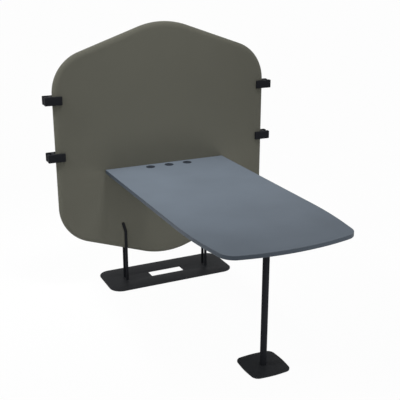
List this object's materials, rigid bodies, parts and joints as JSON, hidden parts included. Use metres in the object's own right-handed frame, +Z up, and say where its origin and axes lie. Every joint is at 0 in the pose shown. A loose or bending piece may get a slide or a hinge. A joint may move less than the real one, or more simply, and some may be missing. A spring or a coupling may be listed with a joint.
{
  "type": "desk with privacy screen",
  "caption": "Long desktop that runs out square from an upholstered hexagonal privacy screen on a slotted floor plate, with a post and foot plate at its free end.",
  "frame": {"origin": "on the floor, in the middle of the whole desk's footprint", "axes": "+Z up, +X along the screen, to the right for someone facing it from the desktop's free end, and +Y along the desktop, from its free end towards the screen"},
  "size_m": [1.442, 1.7068, 1.5819],
  "materials": {
    "upholstery": "grey-green woven wool over foam, matt",
    "board": "bare plywood",
    "laminate": "blue-grey matt laminate",
    "edge_band": "blue-grey matt edge band",
    "core": "bare particle board",
    "floor_steel": "near-black satin powder coat",
    "black_steel": "black satin powder coat",
    "zinc_steel": "zinc plated",
    "black_plastic": "moulded, fine texture",
    "felt": "thin dark felt"
  },
  "bodies": {
    "desk": {"screen_front_pad": "upholstery", "screen_rear_pad": "upholstery", "screen_board": "board", "top_laminate": "laminate", "backing_laminate": "laminate", "edge_band": "edge_band", "desktop_core": "core", "base_plate": "floor_steel", "foot_plate": "floor_steel", "front_post": "black_steel", "post_flange": "black_steel", "desk_bracket_left": "black_steel", "desk_bracket_right": "black_steel", "rod_front_left": "black_steel", "rod_front_right": "black_steel", "rod_rear_left": "black_steel", "rod_rear_right": "black_steel", "foot_screw": "zinc_steel", "post_plug": "zinc_steel", "tie_bar_left": "zinc_steel", "tie_bar_right": "zinc_steel", "rod_screw_front_left": "zinc_steel", "rod_screw_front_right": "zinc_steel", "rod_screw_rear_left": "zinc_steel", "rod_screw_rear_right": "zinc_steel", "flange_screw_1": "zinc_steel", "flange_screw_2": "zinc_steel", "flange_screw_3": "zinc_steel", "flange_screw_4": "zinc_steel", "bracket_screw_1": "zinc_steel", "bracket_screw_2": "zinc_steel", "bracket_screw_3": "zinc_steel", "bracket_screw_4": "zinc_steel", "bracket_bolt_1": "zinc_steel", "bracket_bolt_2": "zinc_steel", "bracket_bolt_3": "zinc_steel", "bracket_bolt_4": "zinc_steel", "board_insert_1": "zinc_steel", "board_insert_2": "zinc_steel", "board_insert_3": "zinc_steel", "board_insert_4": "zinc_steel", "grommet_sleeve_left": "black_plastic", "grommet_sleeve_centre": "black_plastic", "grommet_sleeve_right": "black_plastic", "base_plate_pad": "felt", "foot_plate_pad": "felt"},
    "grommet_cap_left": {"grommet_cap_left": "black_plastic"},
    "grommet_cap_centre": {"grommet_cap_centre": "black_plastic"},
    "grommet_cap_right": {"grommet_cap_right": "black_plastic"},
    "link_connector_upper_left": {"link_connector_upper_left": "black_plastic"},
    "link_connector_upper_right": {"link_connector_upper_right": "black_plastic"},
    "link_connector_lower_left": {"link_connector_lower_left": "black_plastic"},
    "link_connector_lower_right": {"link_connector_lower_right": "black_plastic"}
  },
  "joints": [
    {"name": "grommet_cap_left_turn", "type": "hinge", "parent": "desk", "child": "grommet_cap_left", "pos_m": [-0.12, 0.61307, 0.74], "axis": [0, 0, 1], "continuous": true},
    {"name": "grommet_cap_centre_turn", "type": "hinge", "parent": "desk", "child": "grommet_cap_centre", "pos_m": [0, 0.61307, 0.74], "axis": [0, 0, 1], "continuous": true},
    {"name": "grommet_cap_right_turn", "type": "hinge", "parent": "desk", "child": "grommet_cap_right", "pos_m": [0.12, 0.61307, 0.74], "axis": [0, 0, 1], "continuous": true},
    {"name": "link_connector_upper_left_slide", "type": "slide", "parent": "desk", "child": "link_connector_upper_left", "axis": [0, 0, 1], "range_m": [-0.135, 0]},
    {"name": "link_connector_upper_right_slide", "type": "slide", "parent": "desk", "child": "link_connector_upper_right", "axis": [0, 0, 1], "range_m": [-0.135, 0]},
    {"name": "link_connector_lower_left_slide", "type": "slide", "parent": "desk", "child": "link_connector_lower_left", "axis": [0, 0, 1], "range_m": [-0.285, 0.135]},
    {"name": "link_connector_lower_right_slide", "type": "slide", "parent": "desk", "child": "link_connector_lower_right", "axis": [0, 0, 1], "range_m": [-0.285, 0.135]}
  ]
}
